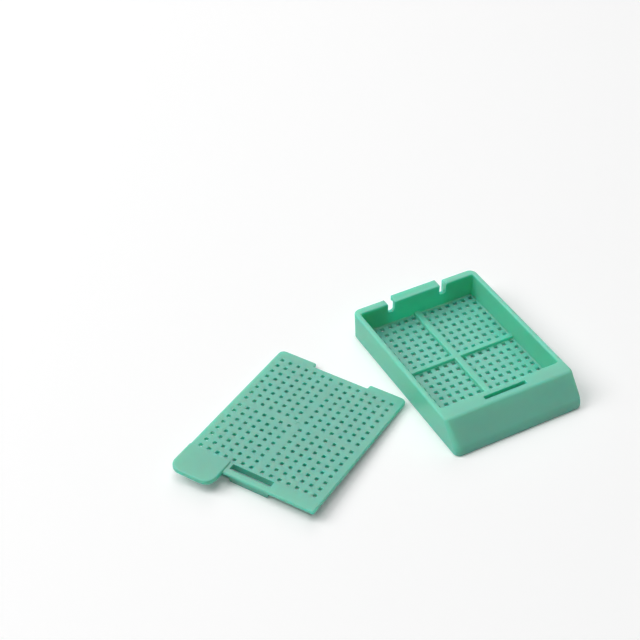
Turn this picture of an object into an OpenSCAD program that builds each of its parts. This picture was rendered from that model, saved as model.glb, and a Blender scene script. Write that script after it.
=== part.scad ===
// Tissue cassette: a perforated base with a sloped writing face, and the lid that snaps
// onto it. The lid lies beside the base, as it is laid down when a specimen is put in.
// Origin: middle of the perforated floor, on the flat underside. +Y is the rear, +Z up.

/* [Chamber] */
// Width of the specimen chamber inside
chamber_w = 26.2; // [20:0.1:34]
// Length of the specimen chamber inside
chamber_l = 30.2; // [24:0.1:38]
// Thickness of the perforated floor
floor_t = 0.8; // [0.6:0.1:1.4]
// Height of the two ribs above the floor
rib_h = 0.65; // [0.3:0.05:1]
// Width of the rib that runs from front to rear
long_rib_w = 1.45; // [0.8:0.05:1.6]
// Width of the rib that runs from side to side
cross_rib_w = 1.1; // [0.6:0.05:1.4]

/* [Walls] */
// Height of the rim above the underside
base_h = 6.1; // [5:0.1:9]
// Thickness of each side wall at the rim
side_wall = 1.15; // [1:0.05:2]
// Thickness of the rear wall at the rim
rear_wall = 1.7; // [1.5:0.05:2.2]
// How far the outer walls lean in between the rim and the underside
wall_lean = 0.15; // [0:0.05:0.4]
// Radius of the two rear corners
rear_corner_r = 1.6; // [1:0.1:3]

/* [Front end] */
// Thickness of the wall between the chamber and the latch space
front_wall = 0.85; // [0.6:0.05:1]
// Depth of the flat ledge in front of the chamber
ledge_d = 3.25; // [2.8:0.05:5]
// Thickness of the ledge
ledge_t = 1.2; // [0.8:0.05:1.6]
// How far the writing face runs forward on its way down
face_run = 4.4; // [2:0.1:7]
// Height of the upright toe under the writing face
toe_h = 1.7; // [0.5:0.1:2.5]
// Thickness of the wall behind the writing face
face_t = 1.2; // [0.8:0.05:1.2]
// Radius of the two upright corners of the toe
front_corner_r = 1.3; // [0.8:0.1:2]
// Radius of the edges between the writing face and the sides
face_edge_r = 0.7; // [0.3:0.1:1.2]

/* [Rear hook] */
// Distance from the middle to the inner side of each notch
notch_x = 5.3; // [4:0.05:7]
// Width of each notch in the rear wall
notch_w = 1.45; // [1.2:0.05:2.4]
// Depth of each notch below the rim
notch_d = 2.4; // [1.5:0.1:3]
// Radius in the bottom corners of each notch
notch_r = 0.3; // [0.1:0.05:0.5]
// Thickness of the rear wall between the notches
thin_wall = 0.8; // [0.6:0.05:1]
// How far the hook stands out behind the rear wall
hook_out = 0.3; // [0:0.05:0.6]
// How far the hook's tip reaches down below the rim
hook_drop = 0.75; // [0.6:0.05:1]
// How far the hook's back rises above the rim
hook_rise = 0.3; // [0.1:0.05:0.6]

/* [Perforation] */
// Distance between neighbouring holes
pitch = 1.84; // [1.6:0.02:2.4]
// Side of the square holes in the floor
floor_hole = 0.87; // [0.6:0.01:1]
// Side of the square holes in the lid
lid_hole = 0.72; // [0.5:0.01:0.9]
// Extra space between the left and right fields of the floor
floor_gap_x = 0.7; // [0.65:0.05:1.2]
// Extra space between the front and rear fields of the floor
floor_gap_y = 0.55; // [0.45:0.05:1.2]
// Extra space between the four fields of the lid
lid_gap = 0.5; // [0:0.05:1.2]
// Least material between the outer holes and the chamber's walls
hole_margin = 0.25; // [0.2:0.05:1]

/* [Latch] */
// Length of the latch slot in the ledge
latch_slot_l = 9.25; // [7:0.05:12]
// Width of the latch slot in the ledge
latch_slot_w = 0.83; // [0.8:0.01:1]
// How far the ledge reaches over the latch space behind the slot
catch_lip = 0.4; // [0.3:0.05:0.6]
// Clearance of the latch leg at each end of the slot
latch_end_gap = 0.45; // [0.2:0.05:1]
// Clearance of the latch leg behind it in the slot
latch_gap = 0.05; // [0.05:0.05:0.1]
// Thickness of the latch leg
leg_t = 0.6; // [0.4:0.05:0.6]
// How far the barb stands out behind the latch leg
barb_out = 0.25; // [0.15:0.05:0.3]
// Height of the barb
barb_h = 0.7; // [0.3:0.05:0.7]
// Clearance between the barb and the ledge when the lid is shut
catch_gap = 0.1; // [0.05:0.05:0.3]

/* [Lid] */
// How far the lid stops short of each side of the rim
lid_inset = 0.1; // [0:0.05:1]
// Thickness of the lid
lid_t = 0.7; // [0.6:0.05:1.3]
// How far the lid's ears stop short of the hook's back when shut
ear_setback = 0.3; // [0:0.05:0.5]
// How far the lid is cut back between its ears
ear_d = 1.1; // [1:0.05:1.3]
// Clearance between each ear and the hook
ear_gap = 0.7; // [0.3:0.05:1]
// How far the lid's front edge stops short of the ledge's when shut
front_setback = 0.6; // [0.1:0.05:0.8]
// Radius of the lid's two rear corners
lid_corner_r = 1.2; // [0.5:0.1:2]
// How far the window behind the latch leg runs past each end of the leg
window_gap = 0.2; // [0.1:0.05:0.5]
// Width of the window behind the latch leg
window_w = 1.3; // [0.8:0.05:1.3]
// Depth of the two lugs under the lid that drop into the notches
lug_d = 0.65; // [0.2:0.05:1]
// Clearance of each lug at the two sides of its notch
lug_gap = 0.3; // [0.1:0.05:0.4]
// Depth of the lip behind the window that drops inside the front wall
lip_d = 0.9; // [0.3:0.05:1]

/* [Thumb tab] */
// Space between the thumb tab's inner side and the window
tab_gap = 0.6; // [0.3:0.05:3]
// How far the thumb tab reaches past the lid's front edge
tab_out = 4.1; // [2:0.1:6]
// How far the tab's pad stands above the lid
pad_h = 0.25; // [0.1:0.05:0.6]
// Radius of the tab's two front corners
tab_r = 2.25; // [1:0.05:3]

/* [Lid laid down] */
// Turn of the lid beside the base
lid_turn = -59; // [-90:0.5:-30]
// Distance between the lid and the side of the rim, seen from above
lid_apart = 1; // [0.3:0.1:20]
// Place of the lid's middle behind the origin
lid_y = -2.7; // [-10:0.1:10]

/* [Hidden] */
$fn = 48;
past = 1;                                     // how far a cutting shape runs past a face
sink = 0.2;                                   // how far an added shape reaches into its carrier
plastic = [0.46, 0.73, 0.64];

// Base, from the rear to the front, at the height of the rim
base_w = chamber_w + 2 * side_wall;
rear_y = chamber_l / 2 + rear_wall;
hook_y = rear_y + hook_out;
thin_y = chamber_l / 2 + thin_wall;
ledge_y = -chamber_l / 2 - ledge_d;
front_y = ledge_y - face_run;
face_slant = atan(face_run / (base_h - toe_h));        // away from upright
latch_space_y = -chamber_l / 2 - front_wall;
slot_back_y = latch_space_y - catch_lip;
notch_end = notch_x + notch_w;

// Lid, in the base's place when it is shut, with its underside on the rim
lid_w = base_w - 2 * lid_inset;
lid_rear_y = hook_y - ear_setback;
lid_front_y = ledge_y + front_setback;
tab_y = lid_front_y - tab_out;
leg_back_y = slot_back_y - latch_gap;
leg_l = latch_slot_l - 2 * latch_end_gap;
window_l = leg_l + 2 * window_gap;
tab_w = lid_w / 2 - window_l / 2 - tab_gap;
barb_top = ledge_t + catch_gap;
leg_d = barb_top + barb_h;
leg_end_r = 0.6;
lug_w = notch_w - 2 * lug_gap;
lug_side_gap = 0.1;
lug_back_y = thin_y - lug_side_gap;
lug_t = thin_wall - 2 * lug_side_gap;
lip_past = 0.5;                            // beyond each end of the window
lip_l = window_l + 2 * lip_past;
lip_t = 0.45;
lip_y = -chamber_l / 2 + lug_side_gap;

// How the lid lies on a flat surface, on its latch leg and its two lugs
lid_tilt = -atan((leg_d - lug_d) / (lug_back_y - leg_back_y));
lid_lift = leg_d * cos(lid_tilt) - leg_back_y * sin(lid_tilt);
corner_x = (lid_w / 2 - lid_corner_r) * cos(lid_turn);
corner_y = (lid_rear_y - lid_corner_r) * cos(lid_tilt) * sin(-lid_turn);
lid_x = -base_w / 2 - lid_apart - lid_corner_r - corner_x - corner_y;

// Holes on one side of the middle: as many as fit into half a chamber
function hole_count(half, gap, hole) =
    floor((half - hole_margin - hole / 2 - (pitch + gap) / 2) / pitch) + 1;
function hole_places(half, gap, hole) =
    [for (side = [-1, 1], i = [0 : hole_count(half, gap, hole) - 1])
        side * ((gap + pitch) / 2 + i * pitch)];
function hole_field_end(half, gap, hole) =
    (gap + pitch) / 2 + (hole_count(half, gap, hole) - 1) * pitch + hole / 2;

// Grid of square holes that fills the chamber's plan
module hole_grid(gap_x, gap_y, hole)
    for (x = hole_places(chamber_w / 2, gap_x, hole), y = hole_places(chamber_l / 2, gap_y, hole))
        translate([x, y])
            square(hole, center = true);

// What a radius takes off a sharp corner; side points outwards from the shape
module corner_waste(corner, side, r)
    translate(corner - side * r)
        difference() {
            translate([min(0, side.x * (r + past)), min(0, side.y * (r + past))])
                square(r + past);
            circle(r);
        }

// Extrudes an outline drawn in Y and Z along X, about the middle
module across(width)
    rotate([90, 0, 90])
        translate([0, 0, -width / 2])
            linear_extrude(width)
                children();

// Plan of the base with its four round corners
module base_plan()
    difference() {
        translate([-base_w / 2, front_y])
            square([base_w, rear_y - front_y]);
        for (side = [-1, 1]) {
            corner_waste([side * base_w / 2, rear_y], [side, 1], rear_corner_r);
            corner_waste([side * base_w / 2, front_y], [side, -1], front_corner_r);
        }
    }

// Everything behind the writing face, with round edges down its two sides
module behind_face()
    translate([0, ledge_y, base_h])
        rotate([-face_slant, 0, 0])
            translate([0, 0, -chamber_l])
                linear_extrude(3 * chamber_l)
                    difference() {
                        translate([-base_w / 2, 0])
                            square([base_w, 2 * chamber_l]);
                        for (side = [-1, 1])
                            corner_waste([side * base_w / 2, 0], [side, -1], face_edge_r);
                    }

// Solid block with the sloped writing face and walls that lean in
module base_block()
    intersection() {
        linear_extrude(base_h)
            base_plan();
        behind_face();
        across(base_w + 2 * past)
            polygon([
                [front_y, 0], [rear_y - wall_lean, 0], [rear_y, base_h], [ledge_y, base_h],
                [front_y, toe_h]
            ]);
        rotate([90, 0, 0])
            translate([0, 0, -rear_y - past])
                linear_extrude(rear_y - front_y + 2 * past)
                    polygon([
                        [-base_w / 2 + wall_lean, 0], [base_w / 2 - wall_lean, 0],
                        [base_w / 2, base_h], [-base_w / 2, base_h]
                    ]);
    }

// Space for the specimen, above the floor
module chamber()
    translate([-chamber_w / 2, -chamber_l / 2, floor_t])
        cube([chamber_w, chamber_l, base_h]);

// Space under the ledge and behind the writing face, open at the bottom
module latch_space() {
    top = base_h - ledge_t;
    toe_y = front_y + face_t;
    slope_y = ledge_y + face_t / cos(face_slant);     // inner side of the face at the rim's height
    across(chamber_w)
        polygon([
            [latch_space_y, -past], [latch_space_y, top],
            [slope_y - ledge_t * tan(face_slant), top],
            [toe_y, base_h - (slope_y - toe_y) / tan(face_slant)], [toe_y, -past]
        ]);
}

// Slot in the ledge that the latch leg passes through
module latch_slot()
    translate([-latch_slot_l / 2, slot_back_y - latch_slot_w, base_h - ledge_t - past])
        cube([latch_slot_l, latch_slot_w, ledge_t + 2 * past]);

// Notches in the rear wall, each with two round bottom corners
module notches()
    for (side = [-1, 1])
        translate([side * (notch_x + notch_w / 2), rear_y + past, base_h - notch_d])
            rotate([90, 0, 0])
                linear_extrude(rear_wall + 2 * past)
                    difference() {
                        translate([-notch_w / 2, 0])
                            square([notch_w, notch_d + past]);
                        for (end = [-1, 1])
                            corner_waste([end * notch_w / 2, 0], [end, -1], notch_r);
                    }

// Step in the outside of the rear wall under the hook
module thin_wall_step()
    translate([-notch_end, thin_y, -past])
        cube([2 * notch_end, rear_wall + past, base_h - hook_drop + past]);

// Hook along the middle of the rear rim, with a round back and a hollow underside
module hook() {
    tip_r = 0.35;
    groove_r = 0.3;
    root_y = chamber_l / 2;
    bottom = base_h - hook_drop;
    top = base_h + hook_rise;
    across(2 * notch_x)
        difference() {
            union() {
                polygon([
                    [root_y, bottom], [hook_y, bottom], [hook_y, top - tip_r],
                    [hook_y - tip_r, top], [thin_y, base_h], [root_y, base_h]
                ]);
                translate([hook_y - tip_r, top - tip_r])
                    circle(tip_r);
            }
            translate([thin_y + groove_r, bottom])
                circle(groove_r);
        }
}

// Two ribs that divide the floor into four fields
module ribs()
    translate([0, 0, floor_t - sink]) {
        translate([-long_rib_w / 2, -chamber_l / 2 - sink, 0])
            cube([long_rib_w, chamber_l + 2 * sink, rib_h + sink]);
        translate([-chamber_w / 2 - sink, -cross_rib_w / 2, 0])
            cube([chamber_w + 2 * sink, cross_rib_w, rib_h + sink]);
    }

module base()
    color(plastic) {
        difference() {
            base_block();
            chamber();
            latch_space();
            latch_slot();
            notches();
            thin_wall_step();
            translate([0, 0, -past])
                linear_extrude(floor_t + 2 * past)
                    hole_grid(floor_gap_x, floor_gap_y, floor_hole);
        }
        ribs();
        hook();
    }

// Plan of the lid: plate, two rear ears and the thumb tab at the front
module lid_plan() {
    half = lid_w / 2;
    recess_half = notch_x + ear_gap;
    edge_r = 0.4;
    difference() {
        union() {
            translate([-half, lid_front_y])
                square([lid_w, lid_rear_y - lid_front_y]);
            tab_plan(lid_front_y + sink);
        }
        translate([-recess_half, lid_rear_y - ear_d])
            square([2 * recess_half, ear_d + past]);
        for (side = [-1, 1]) {
            corner_waste([side * half, lid_rear_y], [side, 1], lid_corner_r);
            corner_waste([side * recess_half, lid_rear_y], [-side, 1], edge_r);
        }
        corner_waste([half, lid_front_y], [1, -1], edge_r);
    }
}

// Plan of the thumb tab, from its round front corners back to a given place
module tab_plan(back_y)
    difference() {
        translate([-lid_w / 2, tab_y])
            square([tab_w, back_y - tab_y]);
        corner_waste([-lid_w / 2, tab_y], [-1, -1], tab_r);
        corner_waste([-lid_w / 2 + tab_w, tab_y], [1, -1], tab_r);
    }

// Perforated plate with the window behind the latch leg
module lid_plate()
    linear_extrude(lid_t)
        difference() {
            lid_plan();
            hole_grid(lid_gap, lid_gap, lid_hole);
            translate([-window_l / 2, leg_back_y - sink / 2])
                square([window_l, window_w]);
        }

// Raised pad on the thumb tab, as far back as the front row of holes
module thumb_pad()
    translate([0, 0, lid_t - sink])
        linear_extrude(pad_h + sink)
            tab_plan(-hole_field_end(chamber_l / 2, lid_gap, lid_hole) - hole_margin);

// Latch leg with its barb, and round lower corners at its two ends
module latch_leg()
    intersection() {
        across(leg_l)
            polygon([
                [leg_back_y, sink], [leg_back_y, -barb_top],
                [leg_back_y + barb_out, -barb_top], [leg_back_y + barb_out, -barb_top - barb_h / 4],
                [leg_back_y, -leg_d], [leg_back_y - leg_t, -leg_d], [leg_back_y - leg_t, sink]
            ]);
        translate([0, leg_back_y + leg_t, 0])
            rotate([90, 0, 0])
                linear_extrude(3 * leg_t)
                    difference() {
                        translate([-leg_l / 2, -leg_d])
                            square([leg_l, leg_d + sink]);
                        for (side = [-1, 1])
                            corner_waste([side * leg_l / 2, -leg_d], [side, -1], leg_end_r);
                    }
    }

// Lugs that drop into the notches in the rear wall
module lugs()
    for (side = [-1, 1])
        translate([side * (notch_x + notch_w / 2) - lug_w / 2, lug_back_y - lug_t, -lug_d])
            cube([lug_w, lug_t, lug_d + sink]);

// Lip that drops into the chamber, just inside its front wall
module front_lip()
    translate([-lip_l / 2, lip_y, -lip_d])
        cube([lip_l, lip_t, lip_d + sink]);

module lid()
    color(plastic)
        translate([lid_x, lid_y, lid_lift])
            rotate([0, 0, lid_turn])
                rotate([lid_tilt, 0, 0]) {
                    lid_plate();
                    thumb_pad();
                    latch_leg();
                    lugs();
                    front_lip();
                }

base();
lid();
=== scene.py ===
import math

import bmesh
import bpy
from mathutils import Matrix, Vector


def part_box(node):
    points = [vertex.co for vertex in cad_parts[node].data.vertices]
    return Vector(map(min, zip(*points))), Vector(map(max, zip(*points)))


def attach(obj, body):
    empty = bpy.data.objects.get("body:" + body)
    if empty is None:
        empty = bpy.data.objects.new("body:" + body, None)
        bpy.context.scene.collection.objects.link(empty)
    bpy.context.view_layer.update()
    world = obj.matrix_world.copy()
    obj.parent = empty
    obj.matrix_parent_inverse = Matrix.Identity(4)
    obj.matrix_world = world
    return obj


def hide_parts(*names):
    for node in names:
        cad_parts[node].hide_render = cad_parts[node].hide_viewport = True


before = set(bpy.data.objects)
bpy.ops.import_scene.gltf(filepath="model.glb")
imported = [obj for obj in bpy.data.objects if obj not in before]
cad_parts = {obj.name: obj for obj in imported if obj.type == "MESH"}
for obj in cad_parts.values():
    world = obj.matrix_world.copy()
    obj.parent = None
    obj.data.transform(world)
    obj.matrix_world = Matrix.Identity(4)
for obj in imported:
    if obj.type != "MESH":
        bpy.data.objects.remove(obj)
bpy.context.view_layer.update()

# A perforated tissue cassette in moulded acetal: the base, and the lid that lies beside it.
# Shapes are made in millimetres in the piece's own frame and scaled to metres when finished.
# Base frame: middle of the perforated floor on the underside, +Y to the rear, +Z up.
# Lid frame: the base's frame when the lid is shut, with the lid's underside at zero.
MM = 0.001
PAST = 1.0                  # how far a cutting shape runs past a face
SKIM = 0.003                # keeps two faces from lying in one plane where solids are cut or joined
SPARE = 0.3                 # what a joined solid has over its finished size, or inside its neighbour
MERGE_GAP = 0.0005          # points nearer than this become one
FLAT_ANGLE = math.radians(0.2)      # faces that turn less than this are joined
EDGE_ANGLE = math.radians(50)       # least turn of an edge that is softened
CREASE_ANGLE = math.radians(40)     # least turn that is shaded as a sharp edge

# Outside of the base, read from the frame
LOW, HIGH = (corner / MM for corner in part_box("base"))
BASE_W = HIGH.x - LOW.x
FRONT_Y = LOW.y
HOOK_Y = HIGH.y
HOOK_RISE = 0.3
BASE_H = HIGH.z - HOOK_RISE

# Chamber and walls
CHAMBER_W = 26.2
CHAMBER_L = 30.2
FLOOR_T = 0.8
RIB_H = 0.65
RIB_CORNER_R = 0.15
RIB_EDGE_R = 0.18
LONG_RIB_W = 1.45
CROSS_RIB_W = 1.1
WALL_LEAN = 0.15
REAR_CORNER_R = 1.6
RIM_OUTER_R = 0.4
RIM_INNER_R = 0.3
UNDERSIDE_R = 0.35
CHAMBER_CORNER_R = 0.4
FLOOR_FILLET_R = 0.2

# Front end
FRONT_WALL = 0.85
LEDGE_Y = -CHAMBER_L / 2 - 3.25
LEDGE_T = 1.2
LEDGE_EDGE_R = 0.9
TOE_H = 1.7
NOSE_R = 2.2
FACE_T = 1.2
TOE_CORNER_R = 1.3
FACE_CORNER_R = 0.8
LATCH_SPACE_R = 0.3

# Rear wall, its two notches and its hook
REAR_Y = CHAMBER_L / 2 + 1.7
THIN_Y = CHAMBER_L / 2 + 0.8
NOTCH_X = 5.3
NOTCH_W = 1.45
NOTCH_D = 2.4
NOTCH_R = 0.45
NOTCH_MOUTH_R = 0.5
NOTCH_EDGE_R = 0.15
HOOK_DROP = 0.75
TIP_R = 0.35
TIP_UNDER_R = 0.2
HOOK_END_R = 0.45
GROOVE_R = 0.3

# Perforation
PITCH = 1.84
FLOOR_HOLE = 0.87
FLOOR_GAP_X = 0.7
FLOOR_GAP_Y = 0.55
LID_HOLE = 0.69
LID_GAP = 0.5
HOLE_MARGIN = 0.25
HOLE_CORNER_R = 0.07
HOLE_MOUTH_R = 0.05
HOLE_UNDER_R = 0.02

# Latch slot, latch leg and the window behind it
SLOT_L = 9.25
SLOT_W = 0.83
SLOT_BACK_Y = -CHAMBER_L / 2 - FRONT_WALL - 0.4
SLOT_CORNER_R = 0.1
SLOT_EDGE_R = 0.1
LEG_BACK_Y = SLOT_BACK_Y - 0.05
LEG_L = SLOT_L - 0.9
LEG_T = 0.6
LEG_END_R = 0.6
LEG_FRONT_R = 0.15
LEG_REAR_R = 0.1
BARB_TOP = LEDGE_T + 0.1
BARB_OUT = 0.25
BARB_H = 0.12
BARB_LOW_R = 0.08
BARB_HIGH_R = 0.03
LEG_D = BARB_TOP + 0.7
WINDOW_L = LEG_L + 0.4
WINDOW_W = 1.3
WINDOW_CORNER_R = 0.1

# Lid and its thumb tab
LID_HALF = BASE_W / 2 - 0.1
LID_T = 0.7
LID_REAR_Y = HOOK_Y - 0.3
LID_FRONT_Y = LEDGE_Y + 0.6
LID_CORNER_R = 1.2
LID_EDGE_R = 0.3
RECESS_HALF = NOTCH_X + 0.7
RECESS_D = 1.1
RECESS_R = 0.4
TAB_W = LID_HALF - WINDOW_L / 2 - 0.6
TAB_Y = LID_FRONT_Y - 4.1
TAB_R = 2.25
TAB_BACK_R = 0.4
PAD_H = 0.25
LUG_D = 0.65
LUG_W = NOTCH_W - 0.6
LUG_T = 0.6
LUG_BACK_Y = THIN_Y - 0.1
LUG_CORNER_R = 0.15
LUG_EDGE_R = 0.1
LIP_D = 0.9
LIP_L = WINDOW_L + 1.0
LIP_T = 0.45
LIP_Y = -CHAMBER_L / 2 + 0.1
LIP_CORNER_R = 0.12
LIP_EDGE_R = 0.1
GATE_R = 0.5
GATE_D = 0.06
GATE_MOUTH_R = 0.04

# How the lid lies: on its latch leg and its two lugs, with one rear corner near the base
LID_TURN = math.radians(-59)
LID_TILT = -math.atan((LEG_D - LUG_D) / (LUG_BACK_Y - LEG_BACK_Y))
LID_LIFT = LEG_D * math.cos(LID_TILT) - LEG_BACK_Y * math.sin(LID_TILT)
LID_APART = 1.0
LID_Y = -2.7
LID_X = (-BASE_W / 2 - LID_APART - LID_CORNER_R
         - (LID_HALF - LID_CORNER_R) * math.cos(LID_TURN)
         - (LID_REAR_Y - LID_CORNER_R) * math.cos(LID_TILT) * math.sin(-LID_TURN))

# Slopes and arcs of the base's front, seen from the side
FACE_SLANT = math.atan((LEDGE_Y - FRONT_Y) / (BASE_H - TOE_H))      # away from upright
NOSE_REACH = NOSE_R * math.tan(FACE_SLANT / 2)
NOSE_LOW = TOE_H - NOSE_REACH
NOSE_HIGH = TOE_H + NOSE_REACH * math.cos(FACE_SLANT)
LEDGE_REACH = LEDGE_EDGE_R * math.tan((math.pi / 2 - FACE_SLANT) / 2)
LEDGE_LOW = BASE_H - LEDGE_REACH * math.cos(FACE_SLANT)

# ---------------------------------------------------------------- outlines and solids


def arc(centre, radius, start, end, steps):
    """Points on a circle from one angle in degrees to another, both included."""
    points = []
    for i in range(steps + 1):
        turn = math.radians(start + (end - start) * i / steps)
        points.append(Vector((centre[0] + radius * math.cos(turn), centre[1] + radius * math.sin(turn))))
    return points


def rounded(corners, steps=5):
    """Outline through (x, y, radius) corners, with an arc of that radius in each."""
    outline = []
    for i, (x, y, radius) in enumerate(corners):
        point = Vector((x, y))
        if not radius:
            outline.append(point)
            continue
        before = (point - Vector(corners[i - 1][:2])).normalized()
        after = (Vector(corners[(i + 1) % len(corners)][:2]) - point).normalized()
        turn = math.atan2(before.cross(after), before.dot(after))
        side = math.copysign(1, turn)
        start = point - before * radius * math.tan(abs(turn) / 2)
        centre = start + side * radius * Vector((-before.y, before.x))
        first = math.degrees(math.atan2(*(start - centre).yx))
        outline += arc(centre, radius, first, first + math.degrees(turn), steps)
    return outline


def box_outline(half_x, low_y, high_y, radius, steps=5):
    """Rectangle about the Y axis with four equal round corners."""
    return rounded([(half_x, low_y, radius), (half_x, high_y, radius),
                    (-half_x, high_y, radius), (-half_x, low_y, radius)], steps)


def inset(outline, depth):
    """The outline moved inwards, or outwards if the depth is negative."""
    moved = []
    for i, point in enumerate(outline):
        before = (point - outline[i - 1]).normalized()
        after = (outline[(i + 1) % len(outline)] - point).normalized()
        inward = Vector((-before.y, before.x)) + Vector((-after.y, after.x))
        moved.append(point + inward * depth / (1 + before.dot(after)))
    return moved


def slab(outline, low, high, low_edge=0.0, high_edge=0.0, low_run=0.0, high_run=0.0, steps=3):
    """Rings of an upright solid. A positive edge is rounded, a negative one flares out.
    A run carries the last ring straight on, past the face that a cutter leaves through."""
    levels = []
    if low_run:
        levels.append((low_edge, low - low_run))
    for i in range(steps + 1 if low_edge else 1):
        turn = math.pi / 2 * i / steps
        levels.append((low_edge * (1 - math.sin(turn)), low + abs(low_edge) * (1 - math.cos(turn))))
    for i in range(steps + 1 if high_edge else 1):
        turn = math.pi / 2 * i / steps
        levels.append((high_edge * (1 - math.cos(turn)), high - abs(high_edge) * (1 - math.sin(turn))))
    if high_run:
        levels.append((high_edge, high + high_run))
    return [[(p.x, p.y, z) for p in inset(outline, depth)] for depth, z in levels]


def across(outline, half, edge=0.0, steps=3):
    """Rings of a solid that carries an outline in Y and Z along X, with rounded ends."""
    levels = []
    for side in (-1, 1):
        turns = [math.pi / 2 * i / steps for i in range(steps + 1 if edge else 1)]
        ends = [(edge * (1 - math.cos(t)), side * (half - edge * (1 - math.sin(t)))) for t in turns]
        levels += ends if side > 0 else reversed(ends)
    return [[(x, p.x, p.y) for p in inset(outline, depth)] for depth, x in levels]


def along(outline, low, high):
    """Rings of a solid that carries an outline in X and Z from one Y to another."""
    return [[(p.x, y, p.y) for p in outline] for y in (low, high)]


def solid(name, rings):
    """Closed object with a skin through the rings and a flat cap at each end."""
    shape = bmesh.new()
    rows = [[shape.verts.new(point) for point in ring] for ring in rings]
    for lower, upper in zip(rows, rows[1:]):
        for i in range(len(lower)):
            shape.faces.new((lower[i - 1], lower[i], upper[i], upper[i - 1]))
    shape.faces.new(reversed(rows[0]))
    shape.faces.new(rows[-1])
    bmesh.ops.recalc_face_normals(shape, faces=shape.faces)
    mesh = bpy.data.meshes.new(name)
    shape.to_mesh(mesh)
    shape.free()
    piece = bpy.data.objects.new(name, mesh)
    bpy.context.scene.collection.objects.link(piece)
    return piece


def apply_modifiers(piece):
    """Turns what the modifiers make into the piece's plain mesh."""
    bpy.context.view_layer.update()
    shown = piece.evaluated_get(bpy.context.evaluated_depsgraph_get())
    mesh = bpy.data.meshes.new_from_object(shown)
    piece.modifiers.clear()
    spent = piece.data
    piece.data = mesh
    bpy.data.meshes.remove(spent)
    mesh.name = piece.name


def combine(piece, others, operation):
    """Adds the other solids to the piece, or cuts them out of it, and removes them."""
    for other in others:
        step = piece.modifiers.new(other.name, "BOOLEAN")
        step.operation = operation
        step.solver = "EXACT"
        step.object = other
        apply_modifiers(piece)
        bpy.data.objects.remove(other)


def tidy_flats(shape):
    """Merges doubles and joins the faces that lie in one plane."""
    bmesh.ops.remove_doubles(shape, verts=shape.verts, dist=MERGE_GAP)
    bmesh.ops.dissolve_limit(shape, angle_limit=FLAT_ANGLE, verts=shape.verts, edges=shape.edges)


def soften(piece, chosen, radius, steps=2):
    """Rounds the sharp outer edges that the test chooses."""
    shape = bmesh.new()
    shape.from_mesh(piece.data)
    tidy_flats(shape)
    edges = [e for e in shape.edges
             if e.is_manifold and e.calc_face_angle_signed() > EDGE_ANGLE and chosen(e)]
    bmesh.ops.bevel(shape, geom=edges, offset=radius, segments=steps, profile=0.5,
                    affect="EDGES", clamp_overlap=False)
    shape.to_mesh(piece.data)
    shape.free()


# ---------------------------------------------------------------- perforation


def hole_count(half, gap, hole):
    """Holes on one side of the middle: as many as fit into half a chamber."""
    return math.floor((half - HOLE_MARGIN - hole / 2 - (PITCH + gap) / 2) / PITCH) + 1


def link(tree, start, end):
    tree.links.new(start, end)


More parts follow.
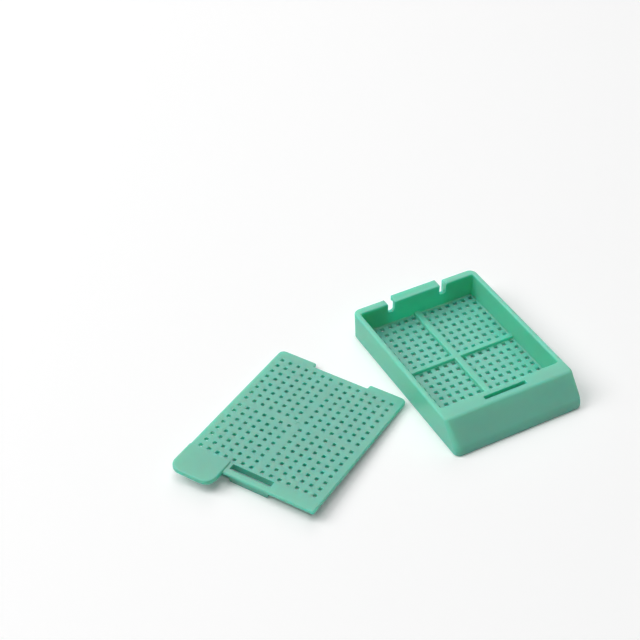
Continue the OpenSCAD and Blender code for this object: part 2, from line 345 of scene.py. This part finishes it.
def perforation_tree():
    """Cuts a grid of holes in four fields out of a piece. The cutter is one hole's solid."""
    tree = bpy.data.node_groups.new("perforation", "GeometryNodeTree")
    sockets = tree.interface
    sockets.new_socket("Geometry", in_out="OUTPUT", socket_type="NodeSocketGeometry")
    sockets.new_socket("Geometry", in_out="INPUT", socket_type="NodeSocketGeometry")
    sockets.new_socket("Cutter", in_out="INPUT", socket_type="NodeSocketObject")
    for name in ("Columns", "Rows"):
        sockets.new_socket(name, in_out="INPUT", socket_type="NodeSocketInt")
    for name in ("Pitch", "Gap X", "Gap Y"):
        sockets.new_socket(name, in_out="INPUT", socket_type="NodeSocketFloat")
    sockets.new_socket("Material", in_out="INPUT", socket_type="NodeSocketMaterial")
    new = tree.nodes.new
    given = new("NodeGroupInput").outputs
    grid = new("GeometryNodeMeshGrid")
    for count, length, points in (("Columns", "Size X", "Vertices X"), ("Rows", "Size Y", "Vertices Y")):
        spaces = new("ShaderNodeMath")
        spaces.operation = "SUBTRACT"
        spaces.inputs[1].default_value = 1
        link(tree, given[count], spaces.inputs[0])
        span = new("ShaderNodeMath")
        span.operation = "MULTIPLY"
        link(tree, spaces.outputs[0], span.inputs[0])
        link(tree, given["Pitch"], span.inputs[1])
        link(tree, span.outputs[0], grid.inputs[length])
        link(tree, given[count], grid.inputs[points])
    place = new("ShaderNodeSeparateXYZ")
    link(tree, new("GeometryNodeInputPosition").outputs[0], place.inputs[0])
    apart = new("ShaderNodeCombineXYZ")
    for axis, gap in (("X", "Gap X"), ("Y", "Gap Y")):
        side = new("ShaderNodeMath")
        side.operation = "SIGN"
        link(tree, place.outputs[axis], side.inputs[0])
        shift = new("ShaderNodeMath")
        shift.operation = "MULTIPLY"
        link(tree, side.outputs[0], shift.inputs[0])
        link(tree, given[gap], shift.inputs[1])
        half = new("ShaderNodeMath")
        half.operation = "MULTIPLY"
        half.inputs[1].default_value = 0.5
        link(tree, shift.outputs[0], half.inputs[0])
        link(tree, half.outputs[0], apart.inputs[axis])
    fields = new("GeometryNodeSetPosition")
    link(tree, grid.outputs["Mesh"], fields.inputs["Geometry"])
    link(tree, apart.outputs[0], fields.inputs["Offset"])
    cutter = new("GeometryNodeObjectInfo")
    link(tree, given["Cutter"], cutter.inputs["Object"])
    holes = new("GeometryNodeInstanceOnPoints")
    link(tree, fields.outputs["Geometry"], holes.inputs["Points"])
    link(tree, cutter.outputs["Geometry"], holes.inputs["Instance"])
    cut = new("GeometryNodeMeshBoolean")
    cut.operation = "DIFFERENCE"
    cut.solver = "EXACT"
    link(tree, given["Geometry"], cut.inputs["Mesh 1"])
    link(tree, holes.outputs["Instances"], cut.inputs["Mesh 2"])
    real = new("GeometryNodeRealizeInstances")
    link(tree, cut.outputs["Mesh"], real.inputs["Geometry"])
    paint = new("GeometryNodeSetMaterial")
    link(tree, real.outputs["Geometry"], paint.inputs["Geometry"])
    link(tree, given["Material"], paint.inputs["Material"])
    link(tree, paint.outputs["Geometry"], new("NodeGroupOutput").inputs[0])
    return tree


def perforate(piece, tree, hole, thickness, gap_x, gap_y, material):
    """Cuts the four fields of square holes, each hole with a soft mouth above and a crisper one below."""
    outline = box_outline(hole / 2, -hole / 2, hole / 2, HOLE_CORNER_R, steps=2)
    rings = slab(outline, -SKIM, thickness + SKIM, -HOLE_UNDER_R, -HOLE_MOUTH_R, PAST, PAST)
    cutter = solid("hole", rings)
    holes = piece.modifiers.new("perforation", "NODES")
    holes.node_group = tree
    values = {
        "Cutter": cutter,
        "Columns": 2 * hole_count(CHAMBER_W / 2, gap_x, hole),
        "Rows": 2 * hole_count(CHAMBER_L / 2, gap_y, hole),
        "Pitch": PITCH,
        "Gap X": gap_x,
        "Gap Y": gap_y,
        "Material": material,
    }
    for socket in tree.interface.items_tree:
        if socket.name in values:
            holes[socket.identifier] = values[socket.name]
    apply_modifiers(piece)
    bpy.data.objects.remove(cutter)


# ---------------------------------------------------------------- base


def front_at(z):
    """Y of the front at one height: upright toe, soft nose, writing face, soft ledge edge."""
    if z <= NOSE_LOW:
        return FRONT_Y
    if z <= NOSE_HIGH:
        return FRONT_Y + NOSE_R - math.sqrt(NOSE_R ** 2 - (z - NOSE_LOW) ** 2)
    if z <= LEDGE_LOW:
        return LEDGE_Y - (BASE_H - z) * math.tan(FACE_SLANT)
    rise = z - (BASE_H - LEDGE_EDGE_R)
    return LEDGE_Y + LEDGE_REACH - math.sqrt(max(0, LEDGE_EDGE_R ** 2 - rise ** 2))


def base_ring(z):
    """Plan of the block at one height."""
    lean = WALL_LEAN * (1 - z / BASE_H)
    under, over = max(0, UNDERSIDE_R - z), max(0, z - BASE_H + RIM_OUTER_R)
    low_inset = UNDERSIDE_R - math.sqrt(UNDERSIDE_R ** 2 - under ** 2)
    top_inset = RIM_OUTER_R - math.sqrt(max(0, RIM_OUTER_R ** 2 - over ** 2))
    side = lean + low_inset + top_inset
    climb = min(1, max(0, (z - TOE_H) / (BASE_H - TOE_H)))
    front_r = TOE_CORNER_R + (FACE_CORNER_R - TOE_CORNER_R) * climb
    x, front, rear = BASE_W / 2 - side, front_at(z) + low_inset, REAR_Y - side
    front_r, rear_r = front_r - low_inset - top_inset, REAR_CORNER_R - low_inset - top_inset
    outline = rounded([(x, front, front_r), (x, rear, rear_r),
                       (-x, rear, rear_r), (-x, front, front_r)], steps=8)
    return [(p.x, p.y, z) for p in outline]


def base_block():
    """Block with a sloped front, walls that lean in, and every outer edge rounded."""
    steps = 6
    heights = [UNDERSIDE_R * (1 - math.cos(math.pi / 2 * i / steps)) for i in range(steps + 1)]
    heights += [NOSE_LOW + (NOSE_HIGH - NOSE_LOW) * i / steps for i in range(steps + 1)]
    heights.append(LEDGE_LOW)
    heights += [BASE_H - RIM_OUTER_R * (1 - math.sin(math.pi / 2 * i / steps)) for i in range(steps + 1)]
    return solid("cassette_base", [base_ring(z) for z in sorted(heights)])


def hook_bar():
    """Hook along the middle of the rear rim, still too long and too deep."""
    top = BASE_H + HOOK_RISE
    ramp = HOOK_RISE / (HOOK_Y - TIP_R - THIN_Y)
    root_y = THIN_Y - 0.5
    bottom = BASE_H - HOOK_DROP - SPARE
    outline = rounded([(root_y, bottom, 0), (HOOK_Y, bottom, 0),
                       (HOOK_Y, top, TIP_R), (HOOK_Y - TIP_R, top, 0),
                       (root_y, BASE_H - ramp * (THIN_Y - root_y), 0)], steps=6)
    return solid("hook", across(outline, NOTCH_X + SPARE))


def chamber_space():
    outline = box_outline(CHAMBER_W / 2, -CHAMBER_L / 2, CHAMBER_L / 2, CHAMBER_CORNER_R)
    return solid("chamber", slab(outline, FLOOR_T, BASE_H + SKIM, FLOOR_FILLET_R, -RIM_INNER_R, 0, PAST, 4))


def latch_space():
    """Hollow under the ledge and behind the writing face, open at the bottom."""
    top = BASE_H - LEDGE_T
    toe_y = FRONT_Y + FACE_T
    slope_y = LEDGE_Y + FACE_T / math.cos(FACE_SLANT)
    bend = BASE_H - (slope_y - toe_y) / math.tan(FACE_SLANT)
    outline = rounded([(toe_y, -PAST, 0), (-CHAMBER_L / 2 - FRONT_WALL, -PAST, 0),
                       (-CHAMBER_L / 2 - FRONT_WALL, top, 0),
                       (slope_y - LEDGE_T * math.tan(FACE_SLANT), top, LATCH_SPACE_R),
                       (toe_y, bend, LATCH_SPACE_R)])
    return solid("latch_space", across(outline, CHAMBER_W / 2))


def latch_slot():
    outline = box_outline(SLOT_L / 2, SLOT_BACK_Y - SLOT_W, SLOT_BACK_Y, SLOT_CORNER_R, steps=3)
    return solid("latch_slot", slab(outline, BASE_H - LEDGE_T, BASE_H + SKIM, 0, -SLOT_EDGE_R, 0.5, PAST))


def on_side(outline, side):
    """The outline as drawn for the right side, or its mirror image for the left."""
    return outline if side > 0 else [Vector((-p.x, p.y)) for p in reversed(outline)]


def notch(side):
    """Space of one notch, with round bottom corners and a wide soft mouth."""
    inner, outer, floor = NOTCH_X, NOTCH_X + NOTCH_W, BASE_H - NOTCH_D
    rim, hook, far = BASE_H + SKIM, BASE_H + HOOK_RISE + SKIM, BASE_H + 2 * PAST
    corner, mouth = NOTCH_R, NOTCH_MOUTH_R
    outline = arc((inner + corner, floor + corner), corner, 180, 270, 5)
    outline += arc((outer - corner, floor + corner), corner, 270, 360, 5)
    outline += arc((outer + mouth, rim - mouth), mouth, 180, 90, 6)
    outline += [Vector((outer + mouth, far)), Vector((inner - mouth, far))]
    outline += arc((inner - mouth, hook - mouth), mouth, 90, 0, 6)
    return solid("notch", along(on_side(outline, side), CHAMBER_L / 2 - 1, HOOK_Y + PAST))


def hook_corner(side):
    """Waste outside the round rear corner of one end of the hook."""
    x, y = NOTCH_X - HOOK_END_R, HOOK_Y - HOOK_END_R
    outline = [Vector((NOTCH_X + SPARE, y)), Vector((NOTCH_X + SPARE, HOOK_Y + PAST)),
               Vector((x, HOOK_Y + PAST))]
    outline += arc((x, y), HOOK_END_R, 90, 0, 5)
    return solid("hook_corner", slab(on_side(outline, side), BASE_H - 2 * PAST, BASE_H + PAST))


def space_under_hook():
    """Step in the outside of the rear wall, the hook's groove, and its round lower back edge."""
    bottom, far = BASE_H - HOOK_DROP, HOOK_Y + PAST
    groove = arc((THIN_Y + GROOVE_R, bottom), GROOVE_R, 0, 180, 8)
    under = arc((HOOK_Y - TIP_UNDER_R, bottom + TIP_UNDER_R), TIP_UNDER_R + SKIM, 270, 360, 4)
    outline = [Vector((THIN_Y, -PAST)), Vector((far, -PAST)), Vector((far, under[-1].y))]
    outline += under[::-1] + groove
    return solid("hook_space", across(outline, NOTCH_X + NOTCH_W))


def ribs():
    """Cross of two ribs with rounded tops, whose ends reach into the walls."""
    long_x, long_y = LONG_RIB_W / 2, CHAMBER_L / 2 + SPARE
    cross_x, cross_y = CHAMBER_W / 2 + SPARE, CROSS_RIB_W / 2
    quarter = [(long_x, -long_y, 0), (long_x, -cross_y, RIB_CORNER_R), (cross_x, -cross_y, 0),
               (cross_x, cross_y, 0), (long_x, cross_y, RIB_CORNER_R), (long_x, long_y, 0)]
    outline = rounded(quarter + [(-x, -y, r) for x, y, r in quarter], steps=3)
    return solid("ribs", slab(outline, FLOOR_T - SPARE, FLOOR_T + RIB_H, 0, RIB_EDGE_R))


def make_base(tree, material):
    """The base: block, hook, hollows, notches and ribs, then the floor's perforation."""
    base = base_block()
    combine(base, [hook_bar()], "UNION")
    combine(base, [chamber_space(), latch_space(), latch_slot(), space_under_hook()], "DIFFERENCE")
    combine(base, [notch(-1), notch(1), hook_corner(-1), hook_corner(1)], "DIFFERENCE")

    def around_notch(edge):
        return all(abs(v.co.y - CHAMBER_L / 2) < 0.01 and v.co.z > BASE_H - NOTCH_D - 0.01
                   and NOTCH_X - 0.1 < abs(v.co.x) < NOTCH_X + NOTCH_W + 0.1 for v in edge.verts)

    soften(base, around_notch, NOTCH_EDGE_R)
    combine(base, [ribs()], "UNION")
    perforate(base, tree, FLOOR_HOLE, FLOOR_T, FLOOR_GAP_X, FLOOR_GAP_Y, material)
    return base


# ---------------------------------------------------------------- lid


def lid_plate():
    """Flat plate with two ears at the rear."""
    half, rear, front = LID_HALF, LID_REAR_Y, LID_FRONT_Y
    recess_y = rear - RECESS_D
    outline = rounded([(half, front, RECESS_R), (half, rear, LID_CORNER_R),
                       (RECESS_HALF, rear, RECESS_R), (RECESS_HALF, recess_y, RECESS_R / 2),
                       (-RECESS_HALF, recess_y, RECESS_R / 2), (-RECESS_HALF, rear, RECESS_R),
                       (-half, rear, LID_CORNER_R), (-half, front, RECESS_R)])
    return solid("cassette_lid", slab(outline, 0, LID_T, LID_EDGE_R / 2, LID_EDGE_R, steps=4))


def thumb_tab():
    """Tab at the front with its raised pad, as far back as the front row of holes."""
    rows = hole_count(CHAMBER_L / 2, LID_GAP, LID_HOLE)
    holes_end = (LID_GAP + PITCH) / 2 + (rows - 1) * PITCH + LID_HOLE / 2
    back = -holes_end - HOLE_MARGIN
    skin = 0.01                            # keeps the pad's side off the plate's
    left, right = -LID_HALF - skin, -LID_HALF + TAB_W
    outline = rounded([(left, TAB_Y, TAB_R), (right, TAB_Y, TAB_R), (right, back, TAB_BACK_R),
                       (left, back, TAB_BACK_R)], steps=8)
    return solid("thumb_tab", slab(outline, SKIM, LID_T + PAD_H, LID_EDGE_R / 2 + skin, LID_EDGE_R, steps=4))


def window():
    """Opening behind the latch leg."""
    outline = box_outline(WINDOW_L / 2, LEG_BACK_Y, LEG_BACK_Y + WINDOW_W, WINDOW_CORNER_R, steps=2)
    return solid("window", slab(outline, -SKIM, LID_T + SKIM, -HOLE_UNDER_R, -HOLE_MOUTH_R, PAST, PAST))


def latch_leg():
    """Leg with a barb along its rear side and round lower corners at its ends."""
    front = LEG_BACK_Y - LEG_T
    barb_y = LEG_BACK_Y + BARB_OUT
    profile = rounded([(front, -LEG_D, LEG_FRONT_R), (LEG_BACK_Y, -LEG_D, LEG_REAR_R),
                       (barb_y, -BARB_TOP - BARB_H, BARB_LOW_R), (barb_y, -BARB_TOP, BARB_HIGH_R),
                       (LEG_BACK_Y, -BARB_TOP, 0),
                       (LEG_BACK_Y, LID_T / 2, 0), (front, LID_T / 2, 0)], steps=3)
    leg = solid("latch_leg", across(profile, LEG_L / 2 + 0.5))
    ends = rounded([(-LEG_L / 2, -LEG_D - SKIM, LEG_END_R), (LEG_L / 2, -LEG_D - SKIM, LEG_END_R),
                    (LEG_L / 2, LID_T, 0), (-LEG_L / 2, LID_T, 0)])
    combine(leg, [solid("ends", along(ends, front - 1, LEG_BACK_Y + 1))], "INTERSECT")
    return leg


def lug(side):
    """Lug under the lid that drops into a notch."""
    x = side * (NOTCH_X + NOTCH_W / 2)
    outline = [Vector((p.x + x, p.y)) for p in
               box_outline(LUG_W / 2, LUG_BACK_Y - LUG_T, LUG_BACK_Y, LUG_CORNER_R, steps=2)]
    return solid("lug", slab(outline, -LUG_D, LID_T / 2, LUG_EDGE_R, 0, steps=2))


def front_lip():
    """Lip behind the window that drops inside the base's front wall."""
    outline = box_outline(LIP_L / 2, LIP_Y, LIP_Y + LIP_T, LIP_CORNER_R, steps=2)
    return solid("front_lip", slab(outline, -LIP_D, LID_T / 2, LIP_EDGE_R, 0, steps=2))


def gate_mark():
    """Shallow round dimple in the lid's middle, where the plastic was let in."""
    points = 24
    outline = arc((0, 0), GATE_R, 0, 360 - 360 / points, points - 1)
    rings = slab(outline, LID_T - GATE_D, LID_T + SKIM, 0, -GATE_MOUTH_R, 0, PAST, steps=2)
    return solid("gate_mark", rings)


def make_lid(tree, material):
    """The lid, laid down beside the base."""
    lid = lid_plate()
    combine(lid, [thumb_tab(), lug(-1), lug(1)], "UNION")
    combine(lid, [window(), gate_mark()], "DIFFERENCE")
    combine(lid, [latch_leg(), front_lip()], "UNION")
    perforate(lid, tree, LID_HOLE, LID_T, LID_GAP, LID_GAP, material)
    lid.data.transform(Matrix.Translation((LID_X, LID_Y, LID_LIFT))
                       @ Matrix.Rotation(LID_TURN, 4, "Z") @ Matrix.Rotation(LID_TILT, 4, "X"))
    return lid


def finish_piece(piece, node):
    """Scales a piece to metres, shades it, and puts it in its CAD node's place."""
    shape = bmesh.new()
    shape.from_mesh(piece.data)
    tidy_flats(shape)
    shape.to_mesh(piece.data)
    shape.free()
    piece.data.transform(Matrix.Scale(MM, 4))
    piece.data.shade_smooth()
    piece.data.set_sharp_from_angle(angle=CREASE_ANGLE)
    shade = piece.modifiers.new("face_weights", "WEIGHTED_NORMAL")
    shade.keep_sharp = True
    apply_modifiers(piece)
    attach(piece, "root")
    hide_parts(node)


# ---------------------------------------------------------------- materials


def moulded_surface_group():
    """Cloudy colour, satin sheen and fine mould grain, shared by both pieces."""
    group = bpy.data.node_groups.new("moulded_surface", "ShaderNodeTree")
    sockets = group.interface
    sockets.new_socket("Position", in_out="INPUT", socket_type="NodeSocketVector")
    sockets.new_socket("Colour", in_out="INPUT", socket_type="NodeSocketColor")
    sockets.new_socket("Cloud Colour", in_out="INPUT", socket_type="NodeSocketColor")
    for name in ("Cloud Scale", "Cloudiness", "Roughness", "Grain Scale"):
        sockets.new_socket(name, in_out="INPUT", socket_type="NodeSocketFloat")
    sockets.new_socket("Colour", in_out="OUTPUT", socket_type="NodeSocketColor")
    sockets.new_socket("Roughness", in_out="OUTPUT", socket_type="NodeSocketFloat")
    sockets.new_socket("Height", in_out="OUTPUT", socket_type="NodeSocketFloat")
    new = group.nodes.new
    given = new("NodeGroupInput").outputs
    made = new("NodeGroupOutput").inputs
    clouds = new("ShaderNodeTexNoise")
    clouds.inputs["Detail"].default_value = 3
    link(group, given["Position"], clouds.inputs["Vector"])
    link(group, given["Cloud Scale"], clouds.inputs["Scale"])
    amount = new("ShaderNodeMath")
    amount.operation = "MULTIPLY"
    link(group, clouds.outputs["Fac"], amount.inputs[0])
    link(group, given["Cloudiness"], amount.inputs[1])
    blend = new("ShaderNodeMix")
    blend.data_type = "RGBA"
    link(group, amount.outputs[0], blend.inputs["Factor"])
    link(group, given["Colour"], blend.inputs[6])
    link(group, given["Cloud Colour"], blend.inputs[7])
    link(group, blend.outputs[2], made["Colour"])
    grain = new("ShaderNodeTexNoise")
    grain.inputs["Detail"].default_value = 4
    link(group, given["Position"], grain.inputs["Vector"])
    link(group, given["Grain Scale"], grain.inputs["Scale"])
    link(group, grain.outputs["Fac"], made["Height"])
    sheen = new("ShaderNodeMapRange")
    spread = 0.07
    sheen.inputs["To Min"].default_value = -spread
    sheen.inputs["To Max"].default_value = spread
    link(group, clouds.outputs["Fac"], sheen.inputs["Value"])
    total = new("ShaderNodeMath")
    total.operation = "ADD"
    link(group, sheen.outputs[0], total.inputs[0])
    link(group, given["Roughness"], total.inputs[1])
    link(group, total.outputs[0], made["Roughness"])
    return group


def acetal(name, group, colour, cloud_colour, depth):
    """Satin moulded acetal. Light goes into it to about the depth in millimetres, red the least."""
    material = bpy.data.materials.new(name)
    material.use_nodes = True
    nodes, tree = material.node_tree.nodes, material.node_tree
    shader = nodes["Principled BSDF"]
    surface = nodes.new("ShaderNodeGroup")
    surface.node_tree = group
    surface.inputs["Colour"].default_value = (*colour, 1)
    surface.inputs["Cloud Colour"].default_value = (*cloud_colour, 1)
    surface.inputs["Cloud Scale"].default_value = 160
    surface.inputs["Cloudiness"].default_value = 0.9
    surface.inputs["Roughness"].default_value = 0.45
    surface.inputs["Grain Scale"].default_value = 4500
    place = nodes.new("ShaderNodeTexCoord")
    link(tree, place.outputs["Object"], surface.inputs["Position"])
    bump = nodes.new("ShaderNodeBump")
    bump.inputs["Strength"].default_value = 0.25
    bump.inputs["Distance"].default_value = 0.00003
    link(tree, surface.outputs["Height"], bump.inputs["Height"])
    link(tree, bump.outputs["Normal"], shader.inputs["Normal"])
    link(tree, surface.outputs["Colour"], shader.inputs["Base Color"])
    link(tree, surface.outputs["Roughness"], shader.inputs["Roughness"])
    shader.inputs["IOR"].default_value = 1.48
    shader.inputs["Specular IOR Level"].default_value = 0.65
    shader.inputs["Subsurface Weight"].default_value = 1
    shader.inputs["Subsurface Radius"].default_value = (0.04, 1.0, 0.75)
    shader.inputs["Subsurface Scale"].default_value = depth * MM
    return material


def paper(name, lift_amount):
    """White paper, lifted towards full white where it is seen directly or in a reflection."""
    material = bpy.data.materials.new(name)
    material.use_nodes = True
    nodes, tree = material.node_tree.nodes, material.node_tree
    shader = nodes["Principled BSDF"]
    shader.inputs["Base Color"].default_value = (0.94, 0.94, 0.94, 1)
    shader.inputs["Roughness"].default_value = 0.9
    shader.inputs["Specular IOR Level"].default_value = 0.1
    shader.inputs["Emission Color"].default_value = (1, 1, 1, 1)
    lift = nodes.new("ShaderNodeMath")
    lift.operation = "MULTIPLY"
    lift.inputs[1].default_value = lift_amount
    link(tree, seen_directly(tree), lift.inputs[0])
    link(tree, lift.outputs[0], shader.inputs["Emission Strength"])
    return material


def seen_directly(tree):
    """1 on rays from the camera, from a glossy surface or through glass."""
    path = tree.nodes.new("ShaderNodeLightPath")
    total = path.outputs["Is Camera Ray"]
    for ray in ("Is Glossy Ray", "Is Transmission Ray"):
        either = tree.nodes.new("ShaderNodeMath")
        either.operation = "MAXIMUM"
        link(tree, total, either.inputs[0])
        link(tree, path.outputs[ray], either.inputs[1])
        total = either.outputs[0]
    return total


# ---------------------------------------------------------------- stage, light and camera

MIDDLE = Vector((-0.022, -0.002, 0))       # of the base and the lid together


def make_floor():
    """Wide white floor, whose parts under the base and the lid are a face each without the lift."""
    lid_place = Matrix.Translation((LID_X, LID_Y, 0)) @ Matrix.Rotation(LID_TURN, 4, "Z")
    under = 1.2                            # from the edge of a piece to the edge of its face
    covers = [(Matrix(), BASE_W / 2, FRONT_Y, REAR_Y),
              (lid_place, LID_HALF, LID_FRONT_Y, LID_REAR_Y - RECESS_D)]
    shape = bmesh.new()
    far = 1500
    loops = [[Vector((x, y, 0)) for x, y in ((-far, -far), (far, -far), (far, far), (-far, far))]]
    for place, half, front, rear in covers:
        x, low, high = half - under, front + under, rear - under
        loops.append([place @ Vector(c) for c in ((-x, low, 0), (x, low, 0), (x, high, 0), (-x, high, 0))])
    edges = []
    for i, loop in enumerate(loops):
        corners = [shape.verts.new(point * MM) for point in loop]
        edges += [shape.edges.new((corners[j - 1], corners[j])) for j in range(4)]
        if i:
            shape.faces.new(corners).material_index = 1
    bmesh.ops.triangle_fill(shape, edges=edges, use_beauty=True, use_dissolve=False, normal=(0, 0, 1))
    mesh = bpy.data.meshes.new("floor")
    shape.to_mesh(mesh)
    shape.free()
    floor = bpy.data.objects.new("floor", mesh)
    bpy.context.scene.collection.objects.link(floor)
    floor.data.materials.append(paper("floor_white", 0.12))
    floor.data.materials.append(paper("floor_under_cassette", 0))


def make_world():
    world = bpy.data.worlds.new("studio")
    bpy.context.scene.world = world
    world.use_nodes = True
    tree = world.node_tree
    sky = tree.nodes["Background"]
    sky.inputs["Color"].default_value = (1, 1, 1, 1)
    link(tree, seen_directly(tree), sky.inputs["Strength"])


def softbox(name, azimuth, elevation, level):
    """Square area light, far enough off to light the whole cassette evenly.
    At level 1 a white card that faces the light shows as white."""
    side, distance = 0.85, 1.3
    turn, rise = math.radians(azimuth), math.radians(elevation)
    away = Vector((math.sin(turn) * math.cos(rise), -math.cos(turn) * math.cos(rise), math.sin(rise)))
    data = bpy.data.lights.new(name, "AREA")
    data.shape = "SQUARE"
    data.size = side
    data.energy = level * (math.pi * distance) ** 2
    lamp = bpy.data.objects.new(name, data)
    bpy.context.scene.collection.objects.link(lamp)
    lamp.location = MIDDLE + away * distance
    lamp.rotation_euler = (-away).to_track_quat("-Z", "Y").to_euler()


def make_lights():
    """Azimuth 0 is in front of the base, and 90 to its right."""
    softbox("overhead", 0, 90, 0.4)
    softbox("left", -118, 45, 0.69)
    softbox("rear", 152, 43, 0.19)


def make_camera():
    """Long lens to the front left of the cassette, looking down on it."""
    azimuth, elevation, roll = math.radians(-27.58), math.radians(40.91), math.radians(-0.65)
    aim = Vector((-18.26, 22.78, FLOOR_T)) * MM
    distance = 292.3 * MM
    back = Vector((math.sin(azimuth) * math.cos(elevation), -math.cos(azimuth) * math.cos(elevation),
                   math.sin(elevation)))
    right = Vector((math.cos(azimuth), math.sin(azimuth), 0))
    up = back.cross(right)
    turned_right = right * math.cos(roll) + up * math.sin(roll)
    turned_up = up * math.cos(roll) - right * math.sin(roll)
    data = bpy.data.cameras.new("camera")
    data.lens = 80.84
    data.clip_start = 0.01
    data.clip_end = 10
    camera = bpy.data.objects.new("camera", data)
    bpy.context.scene.collection.objects.link(camera)
    matrix = Matrix((turned_right, turned_up, back)).transposed().to_4x4()
    matrix.translation = aim + back * distance
    camera.matrix_world = matrix
    bpy.context.scene.camera = camera


# ---------------------------------------------------------------- the scene

bpy.context.scene.view_settings.view_transform = "Standard"
make_camera()
make_world()
make_lights()
make_floor()
surface = moulded_surface_group()
holes = perforation_tree()
base_acetal = acetal("base_acetal", surface, (0.13, 0.56, 0.40), (0.15, 0.60, 0.44), 3.5)
lid_acetal = acetal("lid_acetal", surface, (0.125, 0.472, 0.36), (0.147, 0.512, 0.395), 2.5)
finish_piece(make_base(holes, base_acetal), "base")
finish_piece(make_lid(holes, lid_acetal), "lid")
